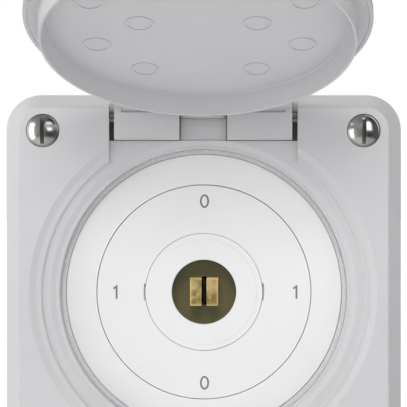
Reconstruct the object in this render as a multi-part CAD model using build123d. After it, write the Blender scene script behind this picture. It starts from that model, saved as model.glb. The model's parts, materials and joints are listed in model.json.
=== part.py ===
from build123d import *
import os
from math import atan2, cos, degrees, radians, sin, sqrt

# Selector key switch: a flush 86 mm cover frame with a hinged round lid, a white dial and a
# square brass spindle that a socket key turns. X is to the right and Z is up. The origin is
# where the spindle's axis crosses the wall, and the front faces -Y. A height is a distance in
# front of the wall, so it is -Y, and what lies inside the wall box has a negative height.
# All lengths are in millimetres and all angles in degrees.

# Cover frame
frame_side = 86.0
frame_corner_radius = 7.6
frame_height = 10.4
bevel_bottom = 6.0
bevel_width = 3.1
frame_wall = 3.0
front_wall = 2.3
edge_rounding = 0.5
gasket_thickness = 1.0
gasket_width = 3.2
gasket_inset = 0.2
post_cover = 1.0

# Stepped round rim, from the outside inwards
bowl_radius = 37.6
shelf_radius = 36.2
shelf_inner_radius = 35.1
shelf_height = 9.6
groove_outer_radius = 34.7
groove_inner_radius = 33.2
groove_height = 8.9
neck_outer_radius = 32.0
neck_radius = 31.2
neck_height = 8.25
neck_wall = 1.8
ledge_radius = 30.2
ledge_height = 4.2
ledge_thickness = 1.4
ledge_relief = 1.0
step_rounding = 0.5
lip_rounding = 0.3
neck_rounding = 0.25
ledge_rounding = 0.1
seal_height = 5.0
seal_rounding = 0.06
seal_gap = 0.02

# Lid, closed
lid_radius = 34.0
lid_top_height = 12.5
lid_flange_height = 9.96
lid_floor_height = 9.53
lid_bead_width = 0.7
lid_bead_depth = 0.2
lid_top_rounding = 1.2
lid_edge_rounding = 0.2
skirt_top_radius = 31.0
skirt_rim_radius = 30.75
skirt_rim_height = 5.17
skirt_rim_thickness = 0.5
skirt_rounding = 0.35
skirt_rim_rounding = 0.12
lid_floor_radius = 29.4
lid_floor_rounding = 0.3
mark_radius = 2.8
mark_width = 0.45
mark_depth = 0.15
mark_rows = ((11.4, 17.7), (20.4, 7.3), (11.4, -1.1), (20.4, -9.4), (11.4, -19.9))

# Hinge
hinge_height = 9.24
hinge_z = 38.49
open_angle = 113.0
pin_radius = 0.75
pin_length = 45.0
pin_fit = 0.02
pin_running_gap = 0.05
pin_end_gap = 0.1
pin_chamfer = 0.15
notch_half_width = 20.35
notch_top_z = 41.9
pocket_radius = 5.95
pocket_drop = 5.55
pocket_wall = 1.6
pocket_cheek = 2.4
pocket_block_top = 41.0
pocket_bond = 0.3
shallow_depth = 9.0
shallow_land = 0.4
plate_gap = 0.1
knuckle_inner_x = 5.15
knuckle_outer_x = 19.15
knuckle_radius = 3.2
knuckle_face = 1.9
knuckle_face_top = 0.5
knuckle_step = 0.6
tail_length = 5.42
tail_heel = 0.9
heel_step = 0.2
tongue_length = 15.0
tongue_root = 2.2
web_width = 1.5
lug_gap = 0.2
lug_drop = 1.39
lug_height = hinge_height - pin_radius - 0.05

# Corner screws
screw_x = 34.6
screw_z = 35.1
screw_shank_radius = 1.75
screw_hole_radius = 2.1
screw_head_radius = 3.5
screw_head_rim = 0.5
screw_dome = 1.25
screw_slot_width = 0.9
screw_slot_depth = 1.1
screw_tip_height = -2.8
seat_radius = 3.62
seat_depth = 0.8
screw_seal_thickness = 0.45
screw_seal_edge = 0.3
thread_gap = 0.05
post_radius = 4.0
bush_spigot_radius = 2.7
bush_shoulder_radius = 3.6
bush_depth = 3.2

# Mounting plate, screwed over the wall box
plate_side = 78.0
plate_corner_radius = 5.0
plate_thickness = 1.5
plate_hole_radius = 9.7
box_screw_spacing = 60.0
slot_half_width = 1.9
slot_length = 9.0
plate_screw_gap = 0.2
plate_head_gap = 0.5

# Centre plate, dial and bush
disc_radius = 30.14
disc_height = 4.5
disc_rounding = 0.18
disc_foot_taper = 0.4
disc_band = 1.5
disc_base_height = 2.7
disc_lip_height = 2.1
disc_lip_radius = 15.0
disc_bore_radius = 13.2
joint_radius = 23.4
joint_gap = 0.14
joint_rounding = 0.12
dial_bore_radius = 12.87
dial_bore_rounding = 0.1
dial_notch_floor = 0.5
dial_notch_depth = 0.35
dial_notch_width = 3.7
bush_radius = 12.8
bush_step_radius = 11.5
bush_step = 0.1
bush_rounding = 0.1
key_hole_radius = 7.07
key_hole_rounding = 0.15
key_lip = 1.1
key_cavity_radius = 8.1
bush_flange_radius = 14.7
bush_foot_radius = 12.9
bush_tail_radius = 9.4
bush_tail_depth = 1.0
bush_tail_rounding = 0.2
zero_circle = 19.9
zero_offset = 0.12
one_circle = 19.7
one_offset = 0.36
digit_height = 3.0
digit_width = 2.0
digit_stroke = 0.4
flag_share = 0.33
flag_drop = 0.5
flag_turn = 30.0
digit_depth = 0.2
digit_proud = 0.02

# Spindle and its leaf spring
spindle_side = 6.2
spindle_front = 3.9
spindle_square_back = -25.6
spindle_slot = 1.07
spindle_slot_depth = 12.0
spindle_edge = 0.25
spindle_chamfer = 0.2
journal_radius = 3.0
journal_back = -31.4
journal_gap = 0.05
clip_groove_radius = 2.4
clip_groove_width = 0.9
clip_groove_back = -30.6
clip_radius = 4.6
clip_play = 0.05
clip_mouth = 0.8
spring_chord = 5.4
spring_sagitta = 0.28
spring_thickness = 0.35
spring_recess = 0.3
spring_depth = 9.0

# Switch body behind the mounting plate
body_side = 46.0
body_corner_radius = 4.0
body_wall = 2.4
cover_back = -3.2
body_back = -29.0
body_floor = 3.0
body_gap = 0.05
collar_radius = 8.0
collar_gap = 0.05
collar_front = -1.2
collar_back = -4.2
collar_chamfer = 0.3
square_gap = 0.02
body_post_radius = 3.2
body_post_offset = 18.4
body_screw_radius = 1.5
body_screw_head_radius = 2.75
body_screw_head = 1.4
body_screw_length = 14.0
body_screw_gap = 0.1
body_screw_reserve = 1.0
head_gap = 0.15
head_sink = 0.2
driver_slot_width = 0.8
driver_slot_depth = 0.7
flat_slot_depth = 0.6
clip_well_gap = 0.4
clip_well_floor = 2.0

# Contact decks, each at the height of its blade
deck_heights = (-11.2, -18.0)
rotor_radius = 7.6
rotor_thickness = 3.4
blade_length = 26.0
blade_width = 9.4
blade_thickness = 1.0
jaw_gap = 0.1
jaw_leaf = 0.8
jaw_inner_x = 10.6
jaw_outer_x = 16.4
jaw_width = 5.6
tail_width = 5.0
tail_offset = 7.2
tail_thickness = 0.8
tail_back = -25.6
tail_root = 2.0
clamp_side = 6.4
clamp_length = 5.0
clamp_wall = 1.0
clamp_height = -22.8
clamp_window_gap = 0.5
clamp_screw_reach = 2.0
terminal_screw_radius = 1.5
terminal_head_radius = 2.3
terminal_head = 1.5
terminal_tip_gap = 1.2
terminal_slot = 0.7
terminal_slot_depth = 0.9
window_inner_x = 10.0
wire_hole_radius = 2.0
wire_hole_offset = 1.4

# Detent: a star wheel with four notches and two leaf springs
detent_front = -4.4
detent_back = -8.4
detent_radius = 9.0
detent_notch_radius = 2.2
detent_notch_circle = 9.6
detent_spring_thickness = 0.5
detent_spring_length = 24.0
detent_spring_gap = 0.15
detent_nose_radius = 2.0
detent_leaf_root = 0.3
detent_spring_inset = 0.5

EPS = 0.01
FAR = 60.0

# A plane whose x is a radius and whose y is a height, for profiles turned about the spindle
TURNING = Plane(origin=(0, 0, 0), x_dir=(1, 0, 0), z_dir=(0, 0, -1))
# A plane whose x is a height and whose y is Z, for profiles that run across the switch
ACROSS = Plane(origin=(0, 0, 0), x_dir=(0, -1, 0), z_dir=(-1, 0, 0))
HINGE_AXIS = Axis((0, -hinge_height, hinge_z), (1, 0, 0))
CORNERS = [(x, z) for x in (-screw_x, screw_x) for z in (-screw_z, screw_z)]
BODY_CORNERS = ((-body_post_offset, body_post_offset), (body_post_offset, -body_post_offset))
PLATE_SCREWS = ((body_post_offset, body_post_offset), (-body_post_offset, -body_post_offset))
TERMINALS = [(x, z) for x in (-1, 1) for z in (-1, 1)]


def slab(outline, back, front):
    """A flat piece with the given outline, from one height to another."""
    return extrude(Plane.XZ.offset(back) * outline, front - back)


def disc(radius, back, front):
    """A round piece about the spindle's axis."""
    return slab(Circle(radius), back, front)


def tube(outer, inner, back, front):
    """A round piece about the spindle's axis, with a bore."""
    return slab(Circle(outer) - Circle(inner), back, front)


def turned(corners):
    """A solid turned about the spindle's axis, from (radius, height, rounding) corners."""
    points = [(radius, height) for radius, height, _ in corners]
    outline = FilletPolyline(points, radius=[corner[2] for corner in corners], close=True)
    return revolve(TURNING * make_face(outline), Axis.Y)


def across(face, x_from, x_to):
    """A prism along X whose section is drawn as (height, Z)."""
    return extrude(ACROSS.offset(-x_to) * face, x_to - x_from)


def block(x_from, x_to, z_from, z_to, back, front):
    """A box between two places along each axis."""
    outline = Rectangle(x_to - x_from, z_to - z_from)
    return slab(Pos((x_from + x_to) / 2, (z_from + z_to) / 2) * outline, back, front)


def rod_x(radius, x_from, x_to, z, height):
    """A round bar along X."""
    return across(Pos(height, z) * Circle(radius), x_from, x_to)


def at_each(places, shape):
    """Copies of a shape at several (x, z) places."""
    return Compound(children=[Pos(x, 0, z) * shape for x, z in places])


def frame_outline(inset=0.0):
    side = frame_side - 2 * inset
    return RectangleRounded(side, side, frame_corner_radius - inset)


def rim_opening():
    """What is taken out of the frame for its stepped round rim and its opening."""
    return turned(
        (
            (0, FAR, 0),
            (bowl_radius, FAR, 0),
            (bowl_radius, frame_height, 0),
            (shelf_radius, shelf_height, step_rounding),
            (shelf_inner_radius, shelf_height, lip_rounding),
            (groove_outer_radius, groove_height, lip_rounding),
            (groove_inner_radius, groove_height, step_rounding),
            (neck_outer_radius, neck_height, lip_rounding),
            (neck_radius, neck_height, neck_rounding),
            (neck_radius, ledge_height, 0),
            (ledge_radius, ledge_height, ledge_rounding),
            (ledge_radius, -FAR, 0),
            (0, -FAR, 0),
        )
    )


def frame_hollow():
    """The space behind the frame's front wall, outside the neck of the opening."""
    depth = frame_height - front_wall
    space = slab(frame_outline(frame_wall), -EPS, depth)
    neck = disc(neck_radius + neck_wall, plate_thickness + plate_gap, groove_height)
    rim = disc(shelf_radius + neck_wall, groove_height - neck_wall, FAR)
    return space - neck - rim


def hinge_pocket():
    """The notch for the knuckles: a shallow part up to the rim and a round pocket behind the pin."""
    wide = 2 * notch_half_width
    shallow = block(-wide / 2, wide / 2, shelf_radius - shallow_depth, FAR, groove_height, FAR)
    shallow -= disc(groove_inner_radius + shallow_land, -FAR, FAR)
    pocket = rod_x(pocket_radius, -wide / 2, wide / 2, hinge_z, hinge_height)
    pocket += block(-wide / 2, wide / 2, 0, FAR, hinge_height, FAR)
    pocket &= block(-wide / 2, wide / 2, hinge_z - pocket_drop, notch_top_z, -FAR, FAR)
    return shallow + pocket


def hinge_lugs():
    """What backs the pin: a full block between the knuckles and a bar outside each of them."""
    top = notch_top_z + EPS
    bottom = hinge_height - pocket_radius - EPS
    half = knuckle_inner_x - lug_gap
    middle = block(-half, half, hinge_z - pocket_drop - EPS, top, bottom, lug_height)
    outer = knuckle_outer_x + lug_gap
    side = block(outer, notch_half_width + EPS, hinge_z - lug_drop, top, bottom, lug_height)
    return middle + side + mirror(side, Plane.YZ)


def cover_frame():
    base = slab(frame_outline(), gasket_thickness, bevel_bottom)
    rise = frame_height - bevel_bottom
    top = Plane.XZ.offset(bevel_bottom) * frame_outline()
    body = base + extrude(top, rise, taper=degrees(atan2(bevel_width, rise)))
    front_edges = body.faces().sort_by(Axis.Y)[0].edges()
    body = fillet(front_edges, edge_rounding)
    body -= frame_hollow()
    floor = hinge_height - pocket_radius - pocket_wall
    reach = notch_half_width + pocket_cheek
    front = frame_height - front_wall + pocket_bond
    foot = hinge_z - pocket_drop - neck_wall
    body += block(-reach, reach, foot, pocket_block_top, floor, front)
    post = disc(post_radius, plate_thickness + plate_gap, frame_height - post_cover)
    body += at_each(CORNERS, post)
    body -= rim_opening()
    ledge = tube(neck_radius + EPS, ledge_radius, ledge_height - ledge_thickness, ledge_height)
    body -= tube(neck_radius + EPS, ledge_radius - ledge_relief, -FAR, ledge_height - ledge_thickness)
    body += ledge
    body -= hinge_pocket()
    body += hinge_lugs()
    pin_end = pin_length / 2 + pin_end_gap
    body -= rod_x(pin_radius + pin_fit, -pin_end, pin_end, hinge_z, hinge_height)
    body -= at_each(CORNERS, disc(screw_hole_radius, -EPS, FAR))
    body -= at_each(CORNERS, disc(seat_radius, frame_height - seat_depth, FAR))
    return body


def lid_shell():
    """The round part of the lid, closed."""
    bead_radius = lid_radius - lid_bead_width
    flange_face = lid_flange_height + lid_bead_depth
    rim_inner = skirt_rim_radius - skirt_rim_thickness
    return turned(
        (
            (0, lid_top_height, 0),
            (lid_radius, lid_top_height, lid_top_rounding),
            (lid_radius, lid_flange_height, lid_edge_rounding),
            (bead_radius, lid_flange_height, 0),
            (bead_radius - lid_bead_depth, flange_face, 0),
            (skirt_top_radius, flange_face, skirt_rounding),
            (skirt_rim_radius, skirt_rim_height, skirt_rim_rounding),
            (rim_inner, skirt_rim_height, skirt_rim_rounding),
            (lid_floor_radius, lid_floor_height, lid_floor_rounding),
            (0, lid_floor_height, 0),
        )
    )


def lid_marks():
    """Round moulding marks that stand up slightly from the lid's inner face."""
    ring = Circle(mark_radius) - Circle(mark_radius - mark_width)
    mark = slab(ring, lid_floor_height - mark_depth, lid_floor_height + EPS)
    places = [(side * x, z) for x, z in mark_rows for side in (-1, 1)]
    return at_each(places, mark)


def opened(along, out):
    """A point of the knuckle's section, given for the open lid: down from the pin, and forward."""
    return (hinge_height + out, hinge_z + along)


def in_lid(along, out):
    """A point of the knuckle's section, given for the closed lid, as it lies on the open lid."""
    turn = radians(open_angle)
    return opened(along * cos(turn) + out * sin(turn), out * cos(turn) - along * sin(turn))


def knuckle_section(step):
    """The hook-shaped section of a knuckle with the lid open. The step is a relief above its face."""
    under = lid_flange_height - hinge_height
    heel = tail_heel + heel_step
    back = -sqrt(knuckle_radius**2 - heel**2)
    face_bottom = -sqrt(tail_length**2 - knuckle_face**2)
    arc_middle = knuckle_face / 2
    arc_low = -sqrt(tail_length**2 - arc_middle**2)
    half = radians(open_angle) / 2
    relief = opened(knuckle_face_top, knuckle_face - step)
    edges = [
        Line(opened(knuckle_face_top, knuckle_face), opened(face_bottom, knuckle_face)),
        ThreePointArc(
            opened(face_bottom, knuckle_face), opened(arc_low, arc_middle), opened(-tail_length, 0)
        ),
        Line(opened(-tail_length, 0), opened(-tail_length, -tail_heel)),
        Line(opened(-tail_length, -tail_heel), opened(back, -heel)),
        ThreePointArc(
            opened(back, -heel),
            opened(knuckle_radius * cos(half + 1), -knuckle_radius * sin(half + 1)),
            in_lid(0, knuckle_radius),
        ),
        Line(in_lid(0, knuckle_radius), in_lid(-tongue_length, knuckle_radius)),
        Line(in_lid(-tongue_length, knuckle_radius), in_lid(-tongue_length, under)),
        Line(in_lid(-tongue_length, under), in_lid(-tongue_root, under)),
        Line(in_lid(-tongue_root, under), relief),
    ]
    if step:
        edges.append(Line(relief, opened(knuckle_face_top, knuckle_face)))
    return make_face(edges)


def knuckles():
    """Both knuckles with the tongue that carries them, with the lid open."""
    face = knuckle_section(knuckle_step)
    web = knuckle_section(0)
    inner = knuckle_outer_x - web_width
    right = across(face, knuckle_inner_x, inner) + across(web, inner, knuckle_outer_x)
    bridge = across(face, -knuckle_inner_x - EPS, knuckle_inner_x + EPS)
    cut = across(Pos(*opened(0, 0)) * Circle(tail_length + 1), -FAR, FAR)
    return right + mirror(right, Plane.YZ) + (bridge - cut)


def lid():
    closed = lid_shell() + lid_marks()
    body = closed.rotate(HINGE_AXIS, -open_angle) + knuckles()
    bore = pin_radius + pin_running_gap
    return body - rod_x(bore, -FAR, FAR, hinge_z, hinge_height)


def hinge_pin():
    pin = rod_x(pin_radius, -pin_length / 2, pin_length / 2, hinge_z, hinge_height)
    return chamfer(pin.edges().filter_by(GeomType.CIRCLE), pin_chamfer)


def lid_seal():
    foot = ledge_height
    outer = neck_radius - seal_gap
    inner = ledge_radius + seal_gap
    return turned(
        (
            (inner, foot, 0),
            (outer, foot, 0),
            (outer, seal_height, seal_rounding),
            (inner, seal_height, seal_rounding),
        )
    )


def wall_gasket():
    outline = frame_outline(gasket_inset) - frame_outline(gasket_inset + gasket_width)
    return slab(outline, 0, gasket_thickness)


def slotted_screw(head_radius, rim, dome, slot_width, slot_depth, shank_radius, length):
    """A raised screw with a full-width slot. Its head sits at height 0 and points to the front."""
    top = rim + dome
    sphere_radius = (head_radius**2 + dome**2) / (2 * dome)
    head = Plane.XZ * Pos(0, 0, top - sphere_radius) * Sphere(sphere_radius)
    head &= disc(head_radius, 0, top + 1)
    head -= slab(Rectangle(slot_width, 3 * head_radius), top - slot_depth, top + 1)
    shank = disc(shank_radius, -length, EPS)
    return head + chamfer(shank.faces().sort_by(Axis.Y)[-1].edges(), shank_radius / 3)


def frame_screw():
    seat = frame_height - seat_depth + screw_seal_thickness
    return Pos(0, -seat, 0) * slotted_screw(
        screw_head_radius,
        screw_head_rim,
        screw_dome,
        screw_slot_width,
        screw_slot_depth,
        screw_shank_radius,
        seat - screw_tip_height,
    )


def screw_seal():
    foot = frame_height - seat_depth
    outer = seat_radius - screw_seal_edge
    return tube(outer, screw_shank_radius + thread_gap, foot, foot + screw_seal_thickness)


def corner_bush():
    shoulder = tube(bush_shoulder_radius, screw_shank_radius + EPS, -bush_depth, 0)
    spigot = tube(bush_spigot_radius, screw_shank_radius + EPS, 0, plate_thickness)
    return shoulder + spigot


def countersink(gap):
    """The cone of a countersunk head that ends flush with the mounting plate's front."""
    top = body_screw_head_radius + gap
    foot = plate_thickness - (body_screw_head_radius - body_screw_radius)
    cone = Cone(body_screw_radius + gap, top, plate_thickness - foot)
    return Plane.XZ.offset((plate_thickness + foot) / 2) * cone


def mounting_plate():
    plate = slab(RectangleRounded(plate_side, plate_side, plate_corner_radius), 0, plate_thickness)
    plate -= disc(plate_hole_radius, -FAR, FAR)
    plate -= at_each(CORNERS, disc(bush_spigot_radius + EPS, -FAR, FAR))
    plate -= at_each(PLATE_SCREWS, disc(body_screw_radius + plate_screw_gap, -FAR, FAR))
    plate -= at_each(PLATE_SCREWS, countersink(EPS))
    plate -= at_each(BODY_CORNERS, disc(body_screw_head_radius + plate_head_gap, -FAR, FAR))
    half = box_screw_spacing / 2
    for x, z, turn in ((-half, 0, 0), (half, 0, 0), (0, -half, 90), (0, half, 90)):
        slot = Pos(x, z) * Rot(0, 0, turn) * SlotOverall(slot_length, 2 * slot_half_width)
        plate -= slab(slot, -FAR, FAR)
    return plate


def centre_plate():
    return turned(
        (
            (disc_bore_radius, plate_thickness, 0),
            (disc_radius - disc_foot_taper, plate_thickness, 0),
            (disc_radius, ledge_height - disc_band, 0),
            (disc_radius, disc_height, disc_rounding),
            (joint_radius + joint_gap, disc_height, joint_rounding),
            (joint_radius + joint_gap, disc_base_height, 0),
            (disc_lip_radius, disc_base_height, 0),
            (disc_lip_radius, disc_lip_height, 0),
            (disc_bore_radius, disc_lip_height, 0),
        )
    )


def dial_ring(digits):
    ring = turned(
        (
            (dial_bore_radius, disc_base_height + EPS, 0),
            (joint_radius, disc_base_height + EPS, 0),
            (joint_radius, disc_height, joint_rounding),
            (dial_bore_radius, disc_height, dial_bore_rounding),
        )
    )
    reach = dial_bore_radius + dial_notch_depth
    notch = disc(reach, disc_base_height + dial_notch_floor, FAR)
    ring -= notch & block(-FAR, FAR, -dial_notch_width / 2, dial_notch_width / 2, -FAR, FAR)
    return ring - digits


def digit_zero():
    x_out = digit_width / 2
    y_out = digit_height / 2
    return Ellipse(x_out, y_out) - Ellipse(x_out - digit_stroke, y_out - digit_stroke)


def digit_one():
    half = digit_height / 2
    stem = Pos(digit_stroke / 2, 0) * Rectangle(digit_stroke, digit_height)
    flag_length = digit_height * flag_share
    flag = Rot(0, 0, flag_turn) * Rectangle(flag_length, digit_stroke)
    return stem + Pos(-flag_length / 2 + digit_stroke, half - flag_drop) * flag


def dial_digits():
    figures = Sketch()
    for side in (-1, 1):
        figures += Pos(zero_offset, side * zero_circle) * digit_zero()
        figures += Pos(side * one_circle + one_offset, 0) * digit_one()
    return slab(figures, disc_height - digit_depth, disc_height + digit_proud)


def key_guide_bush():
    lip_back = disc_height - key_lip
    step_height = disc_height - bush_step
    flange_top = disc_base_height - 2 * EPS
    foot = plate_thickness + EPS
    return turned(
        (
            (key_hole_radius, disc_height, key_hole_rounding),
            (bush_step_radius, disc_height, 0),
            (bush_step_radius + bush_step, step_height, 0),
            (bush_radius, step_height, bush_rounding),
            (bush_radius, flange_top, 0),
            (bush_flange_radius, flange_top, 0),
            (bush_flange_radius, disc_lip_height + EPS, 0),
            (bush_foot_radius, disc_lip_height + EPS, 0),
            (bush_foot_radius, foot, 0),
            (bush_tail_radius, foot, 0),
            (bush_tail_radius, plate_thickness - bush_tail_depth, bush_tail_rounding),
            (key_cavity_radius, plate_thickness - bush_tail_depth, 0),
            (key_cavity_radius, lip_back, 0),
            (key_hole_radius, lip_back, 0),
        )
    )


def spindle():
    square = RectangleRounded(spindle_side, spindle_side, spindle_edge)
    bar = slab(square, spindle_square_back, spindle_front)
    bar = chamfer(bar.faces().sort_by(Axis.Y)[0].edges(), spindle_chamfer)
    slot_back = spindle_front - spindle_slot_depth
    bar -= block(-spindle_slot / 2, spindle_slot / 2, -FAR, FAR, slot_back, FAR)
    bar += disc(journal_radius, journal_back, spindle_square_back)
    groove = tube(FAR, clip_groove_radius, clip_groove_back, clip_groove_back + clip_groove_width)
    return bar - groove


def spindle_spring():
    half = spring_chord / 2
    bend = (half**2 + spring_sagitta**2) / (2 * spring_sagitta)
    middle = spring_sagitta / 2 - bend
    half_thick = spring_thickness / 2
    strip = Pos(middle, 0) * (Circle(bend + half_thick) - Circle(bend - half_thick))
    strip &= Rectangle(2 * spindle_slot, spring_chord)
    front = spindle_front - spring_recess
    return slab(strip, front - spring_depth, front)


def spindle_clip():
    inner = clip_groove_radius + EPS
    back = clip_groove_back + clip_play
    front = clip_groove_back + clip_groove_width - clip_play
    mouth = inner * clip_mouth
    return tube(clip_radius, inner, back, front) - block(-mouth, mouth, -FAR, 0, -FAR, FAR)


def square_hole(back, front):
    side = spindle_side + 2 * square_gap
    return slab(RectangleRounded(side, side, spindle_edge), back, front)


def spindle_collar():
    collar = disc(collar_radius, collar_back, collar_front)
    collar = chamfer(collar.faces().sort_by(Axis.Y)[0].edges(), collar_chamfer)
    return collar - square_hole(-FAR, FAR)


def body_outline(inset=0.0):
    side = body_side - 2 * inset
    return RectangleRounded(side, side, max(body_corner_radius - inset, 1.0))


def switch_cover():
    cover = slab(body_outline(), cover_back, -body_gap)
    cover -= disc(collar_radius + collar_gap, -FAR, FAR)
    sink = body_screw_head_radius + head_gap
    cover -= at_each(BODY_CORNERS, disc(sink, -body_screw_head - head_sink, FAR))
    hole = disc(body_screw_radius + body_screw_gap, -FAR, FAR)
    return cover - at_each(BODY_CORNERS + PLATE_SCREWS, hole)


def jaw_outline(deck, side, end):
    """One fixed contact: two leaves that the blade slides between, and a tail to the clamp."""
    reach = blade_thickness / 2 + jaw_gap
    half = jaw_width / 2
    back = deck - reach - jaw_leaf
    front = deck + reach + jaw_leaf
    jaw = block(jaw_inner_x, jaw_outer_x, -half, half, back, front)
    inner = jaw_outer_x - tail_thickness
    jaw -= block(0, inner, -FAR, FAR, deck - reach, deck + reach)
    tail_low = tail_offset - tail_width / 2
    tail_high = tail_offset + tail_width / 2
    root = min(half, tail_low) - tail_root
    jaw += block(inner, jaw_outer_x, root, tail_high, back, front)
    jaw += block(inner, jaw_outer_x, tail_low, tail_high, tail_back, front)
    if end < 0:
        jaw = mirror(jaw, Plane.XY)
    if side < 0:
        jaw = mirror(jaw, Plane.YZ)
    return jaw


def contact_jaws():
    jaws = [
        jaw_outline(deck, side, end)
        for deck, end in zip(deck_heights, (1, -1))
        for side in (-1, 1)
    ]
    return Compound(children=jaws)


def terminal_clamp(side, end):
    """A box clamp round the contact's tail."""
    middle = end * tail_offset
    half = clamp_side / 2
    x_in = jaw_outer_x - tail_thickness - clamp_wall
    x_out = x_in + clamp_length
    low = clamp_height - half
    high = clamp_height + half
    clamp = block(x_in, x_out, middle - half, middle + half, low, high)
    space = half - clamp_wall + clamp_window_gap
    clamp -= block(
        x_in + clamp_wall - EPS, x_out - clamp_wall, middle - space, middle + space, -FAR, FAR
    )
    bore = terminal_screw_radius + EPS
    clamp -= rod_x(bore, x_out - clamp_screw_reach, x_out + EPS, middle, clamp_height)
    return clamp if side > 0 else mirror(clamp, Plane.YZ)


def terminal_screw(side, end):
    x_tip = jaw_outer_x + terminal_tip_gap
    x_head = body_side / 2 - terminal_head
    middle = end * tail_offset
    screw = rod_x(terminal_screw_radius, x_tip, x_head + EPS, middle, clamp_height)
    screw += rod_x(terminal_head_radius, x_head, x_head + terminal_head, middle, clamp_height)
    slot_x = x_head + terminal_head - terminal_slot_depth
    half = terminal_slot / 2
    screw -= block(slot_x, FAR, middle - half, middle + half, -FAR, FAR)
    return screw if side > 0 else mirror(screw, Plane.YZ)


def switch_base():
    shell = slab(body_outline(), body_back, cover_back)
    shell -= slab(body_outline(body_wall), body_back + body_floor, FAR)
    post = disc(body_post_radius, body_back + EPS, cover_back)
    shell += at_each(BODY_CORNERS + PLATE_SCREWS, post)
    shell -= disc(journal_radius + journal_gap, -FAR, body_back + body_floor)
    shell -= disc(clip_radius + clip_well_gap, -FAR, body_back + body_floor - clip_well_floor)
    hole = disc(body_screw_radius + EPS, -body_screw_length - body_screw_reserve, FAR)
    shell -= at_each(BODY_CORNERS + PLATE_SCREWS, hole)
    for side, end in TERMINALS:
        middle = end * tail_offset
        window = rod_x(terminal_head_radius + head_gap, window_inner_x, FAR, middle, clamp_height)
        shell -= window if side > 0 else mirror(window, Plane.YZ)
        wire_x = side * (jaw_outer_x + wire_hole_offset)
        wire_hole = disc(wire_hole_radius, -FAR, body_back + body_floor + EPS)
        shell -= Pos(wire_x, 0, middle) * wire_hole
    return shell


def body_screws():
    """The two screws that hold the switch's cover on its base."""
    head = disc(body_screw_head_radius, -body_screw_head - head_sink, -head_sink)
    head -= slab(Rectangle(driver_slot_width, FAR), -head_sink - driver_slot_depth, FAR)
    shank = disc(body_screw_radius, -body_screw_length, -body_screw_head)
    return at_each(BODY_CORNERS, head + shank)


def plate_screws():
    """The two screws that hold the switch on the mounting plate."""
    shank = disc(body_screw_radius, -body_screw_length, plate_thickness - EPS)
    screw = countersink(0) + shank
    screw -= slab(Rectangle(driver_slot_width, FAR), plate_thickness - flat_slot_depth, FAR)
    return at_each(PLATE_SCREWS, screw)


def rotor(deck):
    half = rotor_thickness / 2
    carrier = disc(rotor_radius, deck - half, deck + half)
    carrier -= contact_slot(deck, EPS)
    return carrier - square_hole(-FAR, FAR)


def contact_slot(deck, gap):
    half = blade_thickness / 2 + gap
    wide = blade_width / 2 + gap
    return block(-wide, wide, -FAR, FAR, deck - half, deck + half)


def contact_blade(deck):
    """A bridge blade, upright in the off position, with rounded tips."""
    half = blade_thickness / 2
    blade = slab(Rot(0, 0, 90) * SlotOverall(blade_length, blade_width), deck - half, deck + half)
    return blade - square_hole(-FAR, FAR)


def detent_wheel():
    wheel = disc(detent_radius, detent_back, detent_front)
    notch = disc(detent_notch_radius, -FAR, FAR)
    circle = detent_notch_circle
    wheel -= at_each(((circle, 0), (-circle, 0), (0, circle), (0, -circle)), notch)
    return wheel - square_hole(-FAR, FAR)


def detent_springs():
    """Two leaf springs, each with a round nose that rests in a notch of the star wheel."""
    half = detent_spring_length / 2
    nose_z = detent_notch_circle
    back = nose_z + detent_nose_radius - detent_spring_gap
    middle = back + detent_spring_thickness / 2 - detent_leaf_root
    leaf = Pos(0, middle) * Rectangle(2 * half, detent_spring_thickness)
    nose = Pos(0, nose_z) * Circle(detent_nose_radius - detent_spring_gap)
    low = detent_back + detent_spring_inset
    high = detent_front - detent_spring_inset
    spring = slab(leaf + nose, low, high)
    return Compound(children=[spring, mirror(spring, Plane.XY)])


digits = dial_digits()
nodes = {
    "cover_frame": cover_frame(),
    "lid": lid(),
    "hinge_pin": hinge_pin(),
    "lid_seal": lid_seal(),
    "wall_gasket": wall_gasket(),
    "frame_screws": at_each(CORNERS, frame_screw()),
    "screw_seals": at_each(CORNERS, screw_seal()),
    "corner_bushes": at_each(CORNERS, corner_bush()),
    "mounting_plate": mounting_plate(),
    "centre_plate": centre_plate(),
    "dial_ring": dial_ring(digits),
    "dial_digits": digits,
    "key_guide_bush": key_guide_bush(),
    "spindle": spindle(),
    "spindle_spring": spindle_spring(),
    "spindle_clip": spindle_clip(),
    "spindle_collar": spindle_collar(),
    "switch_cover": switch_cover(),
    "switch_base": switch_base(),
    "body_screws": body_screws(),
    "plate_screws": plate_screws(),
    "rotor_front": rotor(deck_heights[0]),
    "rotor_rear": rotor(deck_heights[1]),
    "contact_blade_front": contact_blade(deck_heights[0]),
    "contact_blade_rear": contact_blade(deck_heights[1]),
    "contact_jaws": contact_jaws(),
    "terminal_clamps": Compound(children=[terminal_clamp(*spot) for spot in TERMINALS]),
    "terminal_screws": Compound(children=[terminal_screw(*spot) for spot in TERMINALS]),
    "detent_wheel": detent_wheel(),
    "detent_springs": detent_springs(),
}

os.makedirs("parts", exist_ok=True)
for name, shape in nodes.items():
    export_step(shape, f"parts/{name}.step")
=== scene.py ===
import json
from math import asin, cos, pi, radians, sin

import bmesh
import bpy
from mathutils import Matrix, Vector, noise


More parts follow.
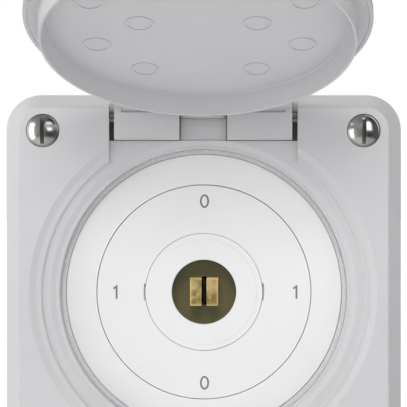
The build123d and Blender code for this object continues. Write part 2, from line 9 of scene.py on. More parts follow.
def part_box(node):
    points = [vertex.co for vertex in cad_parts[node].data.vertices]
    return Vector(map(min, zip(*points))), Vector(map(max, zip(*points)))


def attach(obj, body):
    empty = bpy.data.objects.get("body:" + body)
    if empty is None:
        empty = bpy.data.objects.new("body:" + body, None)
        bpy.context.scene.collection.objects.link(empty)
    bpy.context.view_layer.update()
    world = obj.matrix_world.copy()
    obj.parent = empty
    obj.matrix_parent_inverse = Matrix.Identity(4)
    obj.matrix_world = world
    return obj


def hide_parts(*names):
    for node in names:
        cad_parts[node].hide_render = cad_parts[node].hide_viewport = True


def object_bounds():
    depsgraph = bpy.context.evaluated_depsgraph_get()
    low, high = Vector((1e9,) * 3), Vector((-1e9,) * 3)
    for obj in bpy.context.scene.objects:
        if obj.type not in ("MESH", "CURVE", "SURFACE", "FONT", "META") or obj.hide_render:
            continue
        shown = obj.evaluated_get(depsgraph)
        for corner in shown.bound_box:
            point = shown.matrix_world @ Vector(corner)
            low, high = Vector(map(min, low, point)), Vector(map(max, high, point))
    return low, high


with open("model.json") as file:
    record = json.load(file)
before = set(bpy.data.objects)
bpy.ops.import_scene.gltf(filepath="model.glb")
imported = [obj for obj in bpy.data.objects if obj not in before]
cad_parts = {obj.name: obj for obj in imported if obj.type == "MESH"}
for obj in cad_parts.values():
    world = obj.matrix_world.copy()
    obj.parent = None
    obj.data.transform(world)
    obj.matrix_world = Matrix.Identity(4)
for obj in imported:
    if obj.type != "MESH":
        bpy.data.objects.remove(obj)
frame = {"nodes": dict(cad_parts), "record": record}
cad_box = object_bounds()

# Selector key switch: a pale grey cover frame with an open round lid, a white dial and a square
# brass spindle. Lengths are metres unless a name says mm. The front faces -Y, and the origin is
# where the spindle's axis crosses the wall.

MM = 0.001

# How far a cutter or a hidden joint runs past the face that it starts from
OVERRUN = 1 * MM

# Camera: square to the cover, a little above and to the right of its middle
CAMERA_PLACE = Vector((9.5, -359.0, 19.3)) * MM
CAMERA_RANGE = 353.0 * MM
VIEW_WIDTH = 88.8 * MM
VIEW_SHIFT = -9.56 * MM
VIEW_DROP = 0.08 * MM
SENSOR_WIDTH = 36.0

# Corner screws: the domed head and its rim, the sawn slot, and the threaded shank
SCREW_HEAD_RADIUS = 3.5 * MM
SCREW_HEAD_FACETS = 96
SCREW_DOME_SHARE = 0.9
SCREW_DOME_HEIGHT = 1.25 * MM
SCREW_DOME_STEPS = 24
SCREW_RIM_HEIGHT = 0.5 * MM
SCREW_RIM_STEP = 0.03 * MM
SCREW_BACK_EDGE = 0.1 * MM
SLOT_WIDTH = 0.86 * MM
SLOT_DEPTH = 1.05 * MM
SLOT_REACH = 1.2 * SCREW_HEAD_RADIUS
SLOT_CELL = 0.16 * MM
SLOT_EDGE = 0.03 * MM
SAW_MARK_GRAIN = 0.5 * MM
SAW_MARK_ACROSS_MM = 0.03
SAW_MARK_DEEP_MM = 0.08
SAW_MARK_SEED = 7
SHANK_RADIUS = 1.75 * MM
SHANK_FACETS = 28
SHANK_POINT = 0.7 * MM
SHANK_POINT_SLOPE = 0.8
THREAD_PITCH = 0.6 * MM
THREAD_DEPTH = 0.3 * MM
THREAD_ROWS = 7
THREAD_FADE_TIP = 1.2 * MM
THREAD_FADE_TOP = 1.0 * MM

# Spindle, with its cross slot and its round journal, and the leaf spring in the slot
SPINDLE_LENGTH = 29.5 * MM
SPINDLE_EDGE = 0.16 * MM
SPINDLE_CELL = 1.4 * MM
SPINDLE_SLOT = 1.07 * MM
SPINDLE_SLOT_DEPTH = 12.0 * MM
SPINDLE_SLOT_CELL = 4 * MM
JOURNAL_RADIUS = 3.0 * MM
JOURNAL_CHAMFER = 0.3 * MM
JOURNAL_EDGE = 0.05 * MM
JOURNAL_FACETS = 64
CLIP_GROOVE_RADIUS = 2.4 * MM
CLIP_GROOVE_START = 0.8 * MM
CLIP_GROOVE_END = 1.7 * MM
SPRING_THICKNESS = 0.32 * MM
SPRING_SAGITTA = 0.28 * MM
SPRING_STEPS = 16
SPRING_EDGE = 0.07 * MM

# Raised numbers beside the four wire holes. A stroke is a bar from one (x, z) to another, in half
# sizes of the number, as it is read from behind.
NUMBER_HALF_WIDTH = 0.75 * MM
NUMBER_HALF_HEIGHT = 1.3 * MM
NUMBER_HALF_STROKE = 0.18 * MM
NUMBER_EDGE = NUMBER_HALF_STROKE / 3
NUMBER_RISE = 0.25 * MM
NUMBER_SINK = 0.1 * MM
NUMBER_X = 12.5 * MM
NUMBER_Z = 7.2 * MM
NUMBER_SIDES = {"1": (1, 1), "2": (1, -1), "3": (-1, 1), "4": (-1, -1)}
NUMBER_STROKES = {
    "1": ((0, -1, 0, 1),),
    "2": ((-1, 1, 1, 1), (1, 1, 1, 0), (1, 0, -1, 0), (-1, 0, -1, -1), (-1, -1, 1, -1)),
    "3": ((-1, 1, 1, 1), (-1, 0, 1, 0), (-1, -1, 1, -1), (1, -1, 1, 1)),
    "4": ((-1, 1, -1, 0), (-1, 0, 1, 0), (1, 1, 1, -1)),
}

# Base colours
GREY = (0.61, 0.61, 0.62)
WHITE = (0.84, 0.84, 0.84)
DIGIT_GREY = (0.2, 0.2, 0.2)
BODY_GREY = (0.16, 0.16, 0.17)
SEAL_GREY = (0.68, 0.68, 0.69)
GASKET_BLACK = (0.05, 0.05, 0.05)
OLIVE = (0.185, 0.17, 0.08)
STAINLESS = (0.66, 0.65, 0.63)
ZINC = (0.6, 0.62, 0.65)
SPRING_BLACK = (0.07, 0.068, 0.065)
BRASS = (0.78, 0.6, 0.28)
BRASS_TARNISH = (0.36, 0.26, 0.085)
WORN_BRASS = (0.75, 0.57, 0.25)
WORN_BRASS_TARNISH = (0.33, 0.24, 0.07)
GRIME_AND_SHADE_DARK = (0.1, 0.1, 0.075)
GRIME_AND_SHADE_PALE = (0.42, 0.43, 0.36)

# Dust and painted shade in plastic corners, grime and painted shade on screws, rubbed spindle edges
DUST_AND_SHADE_SHARES = (0.72, 0.7, 0.66)
DUST_AND_SHADE_REACH_MM = 2.2
GRIME_AND_SHADE_REACH_MM = 1.6
RUBBED_EDGE_START_MM = 2.5
RUBBED_EDGE_WIDTH_MM = 0.5

# Floor: it glows more towards the back, where it runs into the white surroundings
FLOOR_SIZE = 6
FLOOR_CELLS = 8
FLOOR_CLOUD_MM = 900
FLOOR_DARK = (0.795, 0.8, 0.815)
FLOOR_PALE = (0.835, 0.84, 0.855)
FLOOR_GLOW_NEAR, FLOOR_GLOW_FAR = 0.18, 0.6
FLOOR_GLOW_START, FLOOR_GLOW_END = 0.06, 0.14

# Light: a tent for the matt surfaces and a darker room for the reflections. Their levels are
# (direction, level) stops, with directions from -1 (left or below) to 1 (right or above).
TENT = 1.21
TENT_ACROSS = ((-1, 2.3), (-0.75, 0.84), (0, 0.83), (0.4, 0.72), (1, 0.2))
TENT_UPRIGHT = ((-0.5, 0.85), (-0.1, 1.04), (0.1, 1.05), (0.5, 0.76), (1, 0.45))
ROOM_ACROSS = ((-0.6, 0.3), (-0.1, 0.22), (0.3, 0.1), (0.5, 0.02), (0.95, 0.1))
ROOM_UPRIGHT = ((-0.62, 0.4), (-0.5, 0.0))

# Softboxes: name, whether only reflections see it or else only matt surfaces, bearing and rise in
# degrees, distance, width and height in metres, and watts
SOFTBOXES = (
    ("key_softbox", True, -70, 2, 0.9, 0.5, 1.2, 3.8),
    ("fill_softbox", True, 33, 27, 0.8, 0.42, 0.66, 1.5),
    ("top_softbox", False, -3, 33, 1.0, 0.34, 0.26, 2.9),
)

NODES = frame["nodes"]


# --- meshes ---------------------------------------------------------------------------------


def add_object(name, mesh):
    """Links a new object that holds the bmesh, which is freed."""
    bmesh.ops.recalc_face_normals(mesh, faces=mesh.faces)
    data = bpy.data.meshes.new(name)
    mesh.to_mesh(data)
    mesh.free()
    piece = bpy.data.objects.new(name, data)
    bpy.context.scene.collection.objects.link(piece)
    return piece


def turned(profile, facets):
    """A closed bmesh turned about Y from (radius, height) points that start and end on the axis."""
    mesh = bmesh.new()
    turns = [2 * pi * i / facets for i in range(facets)]
    rings = []
    for radius, height in profile:
        if radius == 0:
            rings.append([mesh.verts.new((0, -height, 0))])
            continue
        rings.append([mesh.verts.new((radius * cos(t), -height, radius * sin(t))) for t in turns])
    for upper, lower in zip(rings, rings[1:]):
        for i in range(facets):
            j = (i + 1) % facets
            corners = (upper[i % len(upper)], upper[j % len(upper)])
            corners += (lower[j % len(lower)], lower[i % len(lower)])
            mesh.faces.new(dict.fromkeys(corners))
    return mesh


def arc(centre_radius, centre_height, radius, start, end, steps):
    """(radius, height) points round an arc, with the angles in degrees from the radial axis."""
    turns = [radians(start + (end - start) * i / steps) for i in range(steps + 1)]
    return [(centre_radius + radius * cos(t), centre_height + radius * sin(t)) for t in turns]


def skin(mesh, rings):
    """Joins neighbouring rings of vertices with faces and closes both ends."""
    count = len(rings[0])
    for first, second in zip(rings, rings[1:]):
        for i in range(count):
            j = (i + 1) % count
            mesh.faces.new((first[i], first[j], second[j], second[i]))
    mesh.faces.new(rings[0])
    mesh.faces.new(rings[-1])


def add_box(mesh, low, high):
    """Adds a box between two corners to the bmesh."""
    size = high - low
    for vertex in bmesh.ops.create_cube(mesh, size=1)["verts"]:
        vertex.co = low + Vector((vertex.co[i] + 0.5) * size[i] for i in range(3))


def grid_block(low, high, cell):
    """A closed box as a fine grid of square faces."""
    mesh = bmesh.new()
    add_box(mesh, low, high)
    size = high - low
    for axis in range(3):
        cuts = int(size[axis] / cell)
        normal = Vector((0, 0, 0))
        normal[axis] = 1
        for i in range(1, cuts):
            place = Vector((0, 0, 0))
            place[axis] = low[axis] + size[axis] * i / cuts
            everything = mesh.verts[:] + mesh.edges[:] + mesh.faces[:]
            bmesh.ops.bisect_plane(mesh, geom=everything, plane_co=place, plane_no=normal)
    return mesh


def apply_modifier(piece, kind, **settings):
    """Runs a modifier and keeps its result as the piece's own mesh."""
    modifier = piece.modifiers.new(kind, kind)
    for name, value in settings.items():
        setattr(modifier, name, value)
    bpy.context.view_layer.update()
    evaluated = piece.evaluated_get(bpy.context.evaluated_depsgraph_get())
    result = bpy.data.meshes.new_from_object(evaluated)
    piece.modifiers.clear()
    piece.data = result


def cut_out(piece, mesh):
    """Takes the bmesh's volume out of the piece."""
    cutter = add_object("slot_cutter", mesh)
    apply_modifier(piece, "BOOLEAN", operation="DIFFERENCE", solver="EXACT", object=cutter)
    bpy.data.objects.remove(cutter)


def soften_edges(piece, width, segments=3, above=35):
    """Rounds every edge sharper than an angle in degrees."""
    apply_modifier(
        piece,
        "BEVEL",
        width=width,
        segments=segments,
        limit_method="ANGLE",
        angle_limit=radians(above),
    )


def shade(piece, sharp=40):
    """Shades the piece smooth, apart from edges sharper than an angle in degrees."""
    piece.data.shade_smooth()
    piece.data.set_sharp_from_angle(angle=radians(sharp))
    return piece


# --- materials ------------------------------------------------------------------------------


def scaled(colour, factor):
    return tuple(channel * factor for channel in colour)


class Finish:
    """One procedural material: a Principled shader and the textures that drive it."""

    def __init__(self, name, **sockets):
        self.material = bpy.data.materials.new(name)
        self.material.use_nodes = True
        self.tree = self.material.node_tree
        self.shader = self.tree.nodes["Principled BSDF"]
        self.place = self.add("ShaderNodeTexCoord").outputs["Object"]
        for socket, value in sockets.items():
            self.set(socket.replace("_", " "), value)

    def set(self, socket, value):
        """Sets one of the shader's sockets to a value, or links a node's output to it."""
        self.connect(self.shader.inputs[socket], value)

    def connect(self, socket, value):
        """Sets any node's socket to a value, or links a node's output to it."""
        if isinstance(value, bpy.types.NodeSocket):
            self.tree.links.new(value, socket)
        elif socket.type == "RGBA" and len(value) == 3:
            socket.default_value = (*value, 1)
        else:
            socket.default_value = value

    def add(self, kind, inputs=None, **properties):
        """Adds a node, sets its properties and connects its inputs."""
        node = self.tree.nodes.new(kind)
        for name, value in properties.items():
            setattr(node, name, value)
        for name, value in (inputs or {}).items():
            self.connect(node.inputs[name], value)
        return node

    def noise(self, grain_mm, detail, stretch=(1, 1, 1), **inputs):
        """Noise whose grains are about grain_mm across, and longer along a stretched axis."""
        place = self.place
        if stretch != (1, 1, 1):
            scale = tuple(1 / s for s in stretch)
            place = self.add("ShaderNodeMapping", {"Vector": place, "Scale": scale}).outputs[0]
        settings = {"Vector": place, "Scale": 1 / (grain_mm * MM), "Detail": detail, **inputs}
        return self.add("ShaderNodeTexNoise", settings).outputs["Fac"]

    def span(self, value, low, high, start=0.3, end=0.7):
        """Maps a texture's value, between a start and an end, to a range of numbers."""
        ends = {"From Min": start, "From Max": end, "To Min": low, "To Max": high}
        return self.add("ShaderNodeMapRange", {"Value": value, **ends}).outputs[0]

    def blend(self, factor, first, second):
        """Mixes two colours."""
        node = self.add("ShaderNodeMix", data_type="RGBA")
        self.connect(node.inputs["Factor"], factor)
        colours = [s for s in node.inputs if s.type == "RGBA"]
        self.connect(colours[0], first)
        self.connect(colours[1], second)
        return [s for s in node.outputs if s.type == "RGBA"][0]

    def mottled(self, texture, colour, darker, lighter):
        """A colour that wanders between a darker and a lighter share of itself."""
        share = self.span(texture, 0, 1)
        return self.blend(share, scaled(colour, darker), scaled(colour, lighter))

    def math(self, operation, first, second=0.0):
        node = self.add("ShaderNodeMath", operation=operation)
        self.connect(node.inputs[0], first)
        self.connect(node.inputs[1], second)
        return node.outputs[0]

    def bump(self, height, depth_mm, strength=1.0, normal=None):
        """Stands a texture up from the surface, or from another bump."""
        inputs = {"Height": height, "Distance": depth_mm * MM, "Strength": strength}
        if normal:
            inputs["Normal"] = normal
        return self.add("ShaderNodeBump", inputs).outputs["Normal"]

    def crevices(self, reach_mm):
        """1 in the open and lower in grooves and corners."""
        inputs = {"Distance": reach_mm * MM}
        return self.add("ShaderNodeAmbientOcclusion", inputs, samples=8).outputs["AO"]


def moulded_plastic(name, colour, roughness, grain_depth_mm, dust_and_shade=0.3):
    """Moulded plastic: spark-eroded grain, faint flow shades, and dust with painted shade in
    corners.
    """
    finish = Finish(name, Specular_IOR_Level=0.4)
    grain = finish.noise(grain_mm=0.22, detail=3)
    flow = finish.noise(grain_mm=14, detail=3, Distortion=0.6)
    shaded = finish.mottled(flow, colour, darker=0.985, lighter=1.015)
    # Painted shade: darker in grooves and corners, for dust and for the shade that falls there
    corner = finish.span(finish.crevices(DUST_AND_SHADE_REACH_MM), dust_and_shade, 0, start=0.4, end=0.97)
    dusty_and_shaded = tuple(channel * share for channel, share in zip(colour, DUST_AND_SHADE_SHARES))
    finish.set("Base Color", finish.blend(corner, shaded, dusty_and_shaded))
    finish.set("Roughness", finish.span(grain, roughness - 0.06, roughness + 0.06))
    finish.set("Normal", finish.bump(grain, grain_depth_mm))
    return finish.material


def inked_plastic(name, colour):
    """The printed or inlaid grey of the dial's figures, slightly patchy."""
    finish = Finish(name, Specular_IOR_Level=0.35)
    patches = finish.noise(grain_mm=0.35, detail=4)
    finish.set("Base Color", finish.mottled(patches, colour, darker=0.82, lighter=1.2))
    finish.set("Roughness", finish.span(patches, 0.45, 0.62))
    return finish.material


def polished_steel(name, colour, roughness, scratch_mm=0.02):
    """Turned, polished stainless steel: circular tool marks, smears, pits, grime and painted shade.
    """
    finish = Finish(name, Metallic=1.0)
    parts = finish.add("ShaderNodeSeparateXYZ", {"Vector": finish.place}).outputs
    flat = finish.add("ShaderNodeCombineXYZ", {"X": parts["X"], "Y": parts["Z"]}).outputs[0]
    radius = finish.add("ShaderNodeVectorMath", {0: flat}, operation="LENGTH").outputs["Value"]
    ring_noise = {"W": radius, "Scale": 1 / (scratch_mm * 4 * MM), "Detail": 3.0}
    rings = finish.add("ShaderNodeTexNoise", ring_noise, noise_dimensions="1D").outputs["Fac"]
    smear = finish.noise(grain_mm=1.1, detail=3, Distortion=0.8)
    pits = finish.noise(grain_mm=0.18, detail=2)
    tint = finish.mottled(smear, colour, darker=0.9, lighter=1.06)
    # Painted shade: the slot and crevices are darker and duller, for grime and for the shade there
    grime_and_shade = finish.span(finish.crevices(GRIME_AND_SHADE_REACH_MM), 1, 0, start=0.6, end=0.92)
    dirt_and_shade = finish.blend(finish.span(pits, 0, 1), GRIME_AND_SHADE_DARK, GRIME_AND_SHADE_PALE)
    finish.set("Base Color", finish.blend(grime_and_shade, tint, dirt_and_shade))
    polish = finish.span(smear, roughness * 0.75, roughness * 1.35)
    dull = finish.math("MULTIPLY", grime_and_shade, 0.6)
    finish.set("Roughness", finish.math("MAXIMUM", polish, dull))
    turned_bump = finish.bump(rings, scratch_mm * 0.12, strength=0.6)
    finish.set("Normal", finish.bump(pits, scratch_mm * 0.2, strength=0.4, normal=turned_bump))
    return finish.material


def plated_steel(name, colour, roughness):
    """Sheet or wire with a plated finish: drawn streaks and a spangled tint."""
    finish = Finish(name, Metallic=1.0)
    streaks = finish.noise(grain_mm=0.12, detail=3, stretch=(14, 1, 1))
    spangle = finish.noise(grain_mm=2.4, detail=3, Distortion=1.2)
    finish.set("Base Color", finish.mottled(spangle, colour, darker=0.88, lighter=1.08))
    finish.set("Roughness", finish.span(spangle, roughness - 0.07, roughness + 0.08))
    finish.set("Normal", finish.bump(streaks, depth_mm=0.006, strength=0.7))
    return finish.material


def machined_brass(name, colour, tarnish, rubbed_edge_mm=None):
    """Sawn and milled brass: tarnished patches, bright rubbed spots and fine upright scratches.

    A square bar can have bright edges too, from a distance from its middle outwards.
    """
    finish = Finish(name, Metallic=0.45)
    patches = finish.noise(grain_mm=3.4, detail=2, Distortion=0.8)
    rubbed = finish.noise(grain_mm=1.1, detail=2)
    scratches = finish.noise(grain_mm=0.09, detail=4, stretch=(1, 1, 9))
    dull = finish.blend(finish.span(patches, 0, 1, start=0.4, end=0.6), tarnish, colour)
    bright = finish.span(rubbed, 0, 0.5, start=0.56, end=0.7)
    if rubbed_edge_mm:
        parts = finish.add("ShaderNodeSeparateXYZ", {"Vector": finish.place}).outputs
        across, upright = (finish.math("ABSOLUTE", parts[axis]) for axis in ("X", "Z"))
        outwards = finish.math("MAXIMUM", across, upright)
        start = rubbed_edge_mm * MM
        worn = finish.span(outwards, 0, 0.6, start, start + RUBBED_EDGE_WIDTH_MM * MM)
        bright = finish.math("MAXIMUM", bright, worn)
    finish.set("Base Color", finish.blend(bright, dull, scaled(colour, 1.3)))
    finish.set("Roughness", finish.span(patches, 0.5, 0.32))
    rough = finish.bump(scratches, depth_mm=0.02, strength=0.6)
    finish.set("Normal", finish.bump(patches, depth_mm=0.3, strength=0.9, normal=rough))
    return finish.material


def rubber(name, colour):
    """Soft sealing rubber: dull, finely mottled and dusted with talc."""
    finish = Finish(name, Specular_IOR_Level=0.3)
    mottle = finish.noise(grain_mm=0.5, detail=4)
    talc = finish.noise(grain_mm=5, detail=4, Distortion=1.0)
    tint = finish.mottled(mottle, colour, darker=0.85, lighter=1.12)
    pale = tuple(channel * 0.7 + 0.12 for channel in colour)
    dusted = finish.span(talc, 0, 0.35, start=0.45, end=0.75)
    finish.set("Base Color", finish.blend(dusted, tint, pale))
    finish.set("Roughness", finish.span(mottle, 0.62, 0.8))
    finish.set("Normal", finish.bump(mottle, depth_mm=0.03, strength=0.5))
    return finish.material


MATERIALS = {
    "grey_plastic": moulded_plastic("grey_plastic", GREY, 0.42, 0.006),
    "white_plastic": moulded_plastic("white_plastic", WHITE, 0.36, 0.003, dust_and_shade=0.06),
    "digit_grey": inked_plastic("digit_grey", DIGIT_GREY),
    "stainless_steel": polished_steel("stainless_steel", STAINLESS, 0.2),
    "zinc_plated_steel": plated_steel("zinc_plated_steel", ZINC, 0.34),
    "spring_steel": plated_steel("spring_steel", SPRING_BLACK, 0.3),
    "brass": machined_brass("brass", BRASS, BRASS_TARNISH),
    "worn_brass": machined_brass(
        "worn_brass", WORN_BRASS, WORN_BRASS_TARNISH, RUBBED_EDGE_START_MM
    ),
    "dark_moulding": moulded_plastic("dark_moulding", OLIVE, 0.45, 0.01, dust_and_shade=0.0),
    "body_moulding": moulded_plastic("body_moulding", BODY_GREY, 0.45, 0.01),
    "seal_rubber": rubber("seal_rubber", SEAL_GREY),
    "gasket_rubber": rubber("gasket_rubber", GASKET_BLACK),
}


def paint(piece, finish):
    piece.data.materials.clear()
    piece.data.materials.append(MATERIALS[finish])


def paint_frame():
    """Gives each CAD node the finish that its sub-part names in the record."""
    for part in frame["record"]["subparts"]:
        paint(NODES[part["node"]], part["material_slot"])


# --- pieces ---------------------------------------------------------------------------------


def place_piece(piece, body, slot, *nodes):
    """Paints a piece, lets it ride on a body and stand for CAD nodes."""
    paint(piece, slot)
    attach(piece, body)
    if nodes:
        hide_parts(*nodes)


def head_profile(front, back):
    """The head's outline, from the top of its dome down over the rim to its back."""
    rim = SCREW_HEAD_RADIUS
    dome_radius = rim * SCREW_DOME_SHARE
    sphere = (dome_radius**2 + SCREW_DOME_HEIGHT**2) / (2 * SCREW_DOME_HEIGHT)
    edge = asin(dome_radius / sphere)
    turns = [edge * i / SCREW_DOME_STEPS for i in range(SCREW_DOME_STEPS + 1)]
    points = [(sphere * sin(t), front - sphere * (1 - cos(t))) for t in turns]
    shoulder = rim - dome_radius - SCREW_RIM_STEP
    shoulder_height = front - SCREW_DOME_HEIGHT - shoulder
    points += arc(rim - shoulder, shoulder_height, shoulder, start=90, end=0, steps=8)
    corner = SCREW_BACK_EDGE
    points += arc(rim - corner, back + corner, corner, start=0, end=-90, steps=4)
    points.append((0, back))
    return points


def screw_head(name, front, back):
    """A raised slotted head with a thin rim round its dome and a rough sawn slot."""
    head = add_object(name, turned(head_profile(front, back), SCREW_HEAD_FACETS))
    low = Vector((-SLOT_WIDTH / 2, -front - OVERRUN, -SLOT_REACH))
    high = Vector((SLOT_WIDTH / 2, -front + SLOT_DEPTH, SLOT_REACH))
    slot = grid_block(low, high, SLOT_CELL)
    for vertex in slot.verts:
        shake = noise.noise_vector(vertex.co / SAW_MARK_GRAIN)
        vertex.co += Vector((shake.x * SAW_MARK_ACROSS_MM, shake.y * SAW_MARK_DEEP_MM, 0)) * MM
    cut_out(head, slot)
    soften_edges(head, SLOT_EDGE, segments=2, above=40)
    return shade(head, sharp=50)


def threaded_shank(name, top, tip):
    """A threaded shank: a tube whose radius follows the thread's helix, narrower at its tip."""
    mesh = bmesh.new()
    rows = int((top - tip) / (THREAD_PITCH / THREAD_ROWS))
    rings = []
    for row in range(rows + 1):
        height = top - (top - tip) * row / rows
        fade = min(1.0, (height - tip) / THREAD_FADE_TIP, (top - height) / THREAD_FADE_TOP)
        ring = []
        for i in range(SHANK_FACETS):
            turn = 2 * pi * i / SHANK_FACETS
            phase = (height / THREAD_PITCH + i / SHANK_FACETS) % 1
            groove = 1 - abs(2 * phase - 1)
            radius = SHANK_RADIUS - THREAD_DEPTH * groove * fade
            radius -= max(0.0, SHANK_POINT - (height - tip)) * SHANK_POINT_SLOPE
            ring.append(mesh.verts.new((radius * cos(turn), -height, radius * sin(turn))))
        rings.append(ring)
    skin(mesh, rings)
    return shade(add_object(name, mesh), sharp=45)


def corner_screws():
    """The four stainless screws that hold the cover frame."""
    low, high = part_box("frame_screws")
    front, tip = -low.y, -high.y
    back = front - SCREW_DOME_HEIGHT - SCREW_RIM_HEIGHT
    x, z = high.x - SCREW_HEAD_RADIUS, high.z - SCREW_HEAD_RADIUS
    corners = {"top_left": (-x, z), "top_right": (x, z), "low_left": (-x, -z), "low_right": (x, -z)}
    for corner, (place_x, place_z) in corners.items():
        head = screw_head(f"frame_screw_{corner}", front, back)
        shank = threaded_shank(f"frame_screw_shank_{corner}", back, tip)
        for piece in (head, shank):
            piece.location = (place_x, 0, place_z)
            place_piece(piece, "housing", "stainless_steel", "frame_screws")


def brass_spindle():
    """The square spindle with its cross slot, and its round journal with the clip's groove."""
    low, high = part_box("spindle")
    half = high.x
    square_back = low.y + SPINDLE_LENGTH
    bar_low, bar_high = Vector((-half, low.y, -half)), Vector((half, square_back, half))
    spindle = add_object("brass_spindle", grid_block(bar_low, bar_high, SPINDLE_CELL))
    slot_low = Vector((-SPINDLE_SLOT / 2, low.y - OVERRUN, -half - OVERRUN))
    slot_high = Vector((SPINDLE_SLOT / 2, low.y + SPINDLE_SLOT_DEPTH, half + OVERRUN))
    cut_out(spindle, grid_block(slot_low, slot_high, SPINDLE_SLOT_CELL))
    soften_edges(spindle, SPINDLE_EDGE)
    place_piece(shade(spindle, sharp=35), "rotor", "brass", "spindle")
    # The spindle is painted with the worn brass instead, whose edges are rubbed bright by the keys
    paint(spindle, "worn_brass")

    tip = -high.y
    journal_front = -square_back + OVERRUN
    groove_back, groove_front = tip + CLIP_GROOVE_START, tip + CLIP_GROOVE_END
    outline = (
        (0, journal_front),
        (JOURNAL_RADIUS, journal_front),
        (JOURNAL_RADIUS, groove_front),
        (CLIP_GROOVE_RADIUS, groove_front),
        (CLIP_GROOVE_RADIUS, groove_back),
        (JOURNAL_RADIUS, groove_back),
        (JOURNAL_RADIUS, tip + JOURNAL_CHAMFER),
        (JOURNAL_RADIUS - JOURNAL_CHAMFER, tip),
        (0, tip),
    )
    journal = add_object("spindle_journal", turned(outline, JOURNAL_FACETS))
    soften_edges(journal, JOURNAL_EDGE, segments=2)
    place_piece(shade(journal, sharp=35), "rotor", "brass", "spindle")


def leaf_spring():
    """The curved steel strip that stands in the spindle's slot."""
    low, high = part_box("spindle_spring")
    half = (high.z - low.z) / 2
    bend = (half**2 + SPRING_SAGITTA**2) / (2 * SPRING_SAGITTA)
    reach = asin(half / bend)
    mesh = bmesh.new()
    columns = []
    for i in range(SPRING_STEPS + 1):
        turn = -reach + 2 * reach * i / SPRING_STEPS
        column = []
        for side, depth in ((-1, low.y), (1, low.y), (1, high.y), (-1, high.y)):
            radius = bend + side * SPRING_THICKNESS / 2
            x = radius * cos(turn) - bend + SPRING_SAGITTA / 2
            column.append(mesh.verts.new((x, depth, radius * sin(turn))))
        columns.append(column)
    skin(mesh, columns)
    spring = add_object("leaf_spring", mesh)
    soften_edges(spring, SPRING_EDGE, segments=2, above=50)
    place_piece(shade(spring), "rotor", "spring_steel", "spindle_spring")


def terminal_numbers():
    """Raised numbers beside the four wire holes, drawn with straight bars."""
    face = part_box("switch_base")[1].y
    around = Vector((NUMBER_HALF_STROKE, 0, NUMBER_HALF_STROKE))
    for number, (side, end) in NUMBER_SIDES.items():
        mesh = bmesh.new()
        for x1, z1, x2, z2 in NUMBER_STROKES[number]:
            first = Vector((-x1 * NUMBER_HALF_WIDTH, face - NUMBER_SINK, z1 * NUMBER_HALF_HEIGHT))
            second = Vector((-x2 * NUMBER_HALF_WIDTH, face + NUMBER_RISE, z2 * NUMBER_HALF_HEIGHT))
            low, high = Vector(map(min, first, second)), Vector(map(max, first, second))
            add_box(mesh, low - around, high + around)
        piece = add_object(f"terminal_number_{number}", mesh)
        soften_edges(piece, NUMBER_EDGE, segments=2)
        piece.location = (side * NUMBER_X, 0, end * NUMBER_Z)
        place_piece(shade(piece), "housing", "body_moulding")


# --- stage ----------------------------------------------------------------------------------


def floor():
    """A plain pale floor under the object, left out of the reflections."""
    mesh = bmesh.new()
    bmesh.ops.create_grid(mesh, x_segments=FLOOR_CELLS, y_segments=FLOOR_CELLS, size=FLOOR_SIZE)
    piece = add_object("floor", mesh)
    piece.location.z = cad_box[0].z
    finish = Finish("pale_floor", Roughness=0.9, Specular_IOR_Level=0.1)
    cloud = finish.noise(FLOOR_CLOUD_MM, detail=2)
    finish.set("Base Color", finish.blend(cloud, FLOOR_DARK, FLOOR_PALE))
    depth = finish.add("ShaderNodeSeparateXYZ", {"Vector": finish.place}).outputs["Y"]
    glow = finish.span(
        depth, FLOOR_GLOW_NEAR, FLOOR_GLOW_FAR, FLOOR_GLOW_START, FLOOR_GLOW_END
    )
    finish.set("Emission Color", (1, 1, 1))
    finish.set("Emission Strength", glow)
    piece.data.materials.append(finish.material)
    piece.visible_glossy = False


def softbox(name, in_reflections, bearing, rise, away, width, height, watts):
    """A softbox pointed at the object, for the reflections only or for the matt surfaces only."""
    data = bpy.data.lights.new(name, "AREA")
    data.shape = "RECTANGLE"
    data.size, data.size_y = width, height
    data.energy = watts
    light = bpy.data.objects.new(name, data)
    bpy.context.scene.collection.objects.link(light)
    turn, lift = radians(bearing), radians(rise)
    towards = Vector((sin(turn) * cos(lift), -cos(turn) * cos(lift), sin(lift)))
    light.location = towards * away
    light.rotation_euler = towards.to_track_quat("Z", "Y").to_euler()
    light.visible_camera = False
    light.visible_glossy = in_reflections
    light.visible_diffuse = not in_reflections


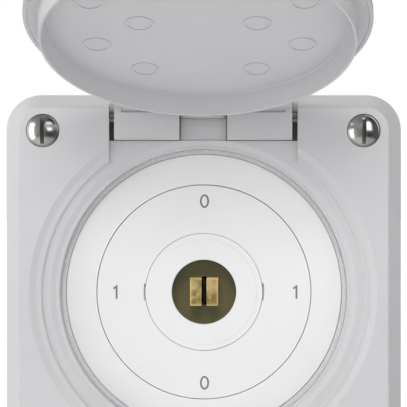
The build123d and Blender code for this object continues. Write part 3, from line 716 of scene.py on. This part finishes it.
def surroundings():
    """White to the camera, a darker room in the reflections and a pale tent for the rest."""
    world = bpy.data.worlds.new("studio")
    bpy.context.scene.world = world
    world.use_nodes = True
    nodes, links = world.node_tree.nodes, world.node_tree.links
    nodes.clear()
    rays = nodes.new("ShaderNodeLightPath")
    way = nodes.new("ShaderNodeTexCoord")
    parts = nodes.new("ShaderNodeSeparateXYZ")
    links.new(way.outputs["Generated"], parts.inputs[0])

    def background(strength, colour=None):
        node = nodes.new("ShaderNodeBackground")
        node.inputs["Strength"].default_value = strength
        if colour:
            links.new(colour, node.inputs["Color"])
        else:
            node.inputs["Color"].default_value = (1, 1, 1, 1)
        return node.outputs[0]

    def ramp(direction, stops):
        shift = nodes.new("ShaderNodeMapRange")
        shift.inputs["From Min"].default_value = -1
        links.new(direction, shift.inputs["Value"])
        node = nodes.new("ShaderNodeValToRGB")
        links.new(shift.outputs[0], node.inputs[0])
        elements = node.color_ramp.elements
        while len(elements) < len(stops):
            elements.new(0.5)
        for element, (place, level) in zip(elements, stops):
            element.position = (place + 1) / 2
            element.color = (level, level, level, 1)
        return node.outputs["Color"]

    def join(mode, first, second):
        node = nodes.new("ShaderNodeMix")
        node.data_type, node.blend_type = "RGBA", mode
        node.inputs["Factor"].default_value = 1
        colours = [s for s in node.inputs if s.type == "RGBA"]
        links.new(first, colours[0])
        links.new(second, colours[1])
        return [s for s in node.outputs if s.type == "RGBA"][0]

    def choose(ray, otherwise, chosen):
        node = nodes.new("ShaderNodeMixShader")
        links.new(rays.outputs[ray], node.inputs[0])
        links.new(otherwise, node.inputs[1])
        links.new(chosen, node.inputs[2])
        return node.outputs[0]

    across, upright = parts.outputs["X"], parts.outputs["Z"]
    tent = join("MULTIPLY", ramp(across, TENT_ACROSS), ramp(upright, TENT_UPRIGHT))
    room = join("ADD", ramp(across, ROOM_ACROSS), ramp(upright, ROOM_UPRIGHT))
    lit = choose("Is Glossy Ray", background(TENT, tent), background(1, room))
    shown = choose("Is Camera Ray", lit, background(1))
    output = nodes.new("ShaderNodeOutputWorld")
    links.new(shown, output.inputs["Surface"])


def camera():
    """Looks square at the front, with a small shift towards the frame's middle."""
    data = bpy.data.cameras.new("camera")
    data.sensor_width = SENSOR_WIDTH
    data.lens = SENSOR_WIDTH * CAMERA_RANGE / VIEW_WIDTH
    data.shift_x, data.shift_y = VIEW_SHIFT / VIEW_WIDTH, VIEW_DROP / VIEW_WIDTH
    data.clip_start, data.clip_end = 0.01, 50
    eye = bpy.data.objects.new("camera", data)
    bpy.context.scene.collection.objects.link(eye)
    eye.location = CAMERA_PLACE
    eye.rotation_euler = (pi / 2, 0, 0)
    bpy.context.scene.camera = eye


# Without a seed the noise of the saw marks follows the clock, and differs from run to run
noise.seed_set(SAW_MARK_SEED)

paint_frame()
corner_screws()
brass_spindle()
leaf_spring()
terminal_numbers()
floor()
surroundings()
for setting in SOFTBOXES:
    softbox(*setting)
camera()
bpy.context.scene.view_settings.view_transform = "Standard"
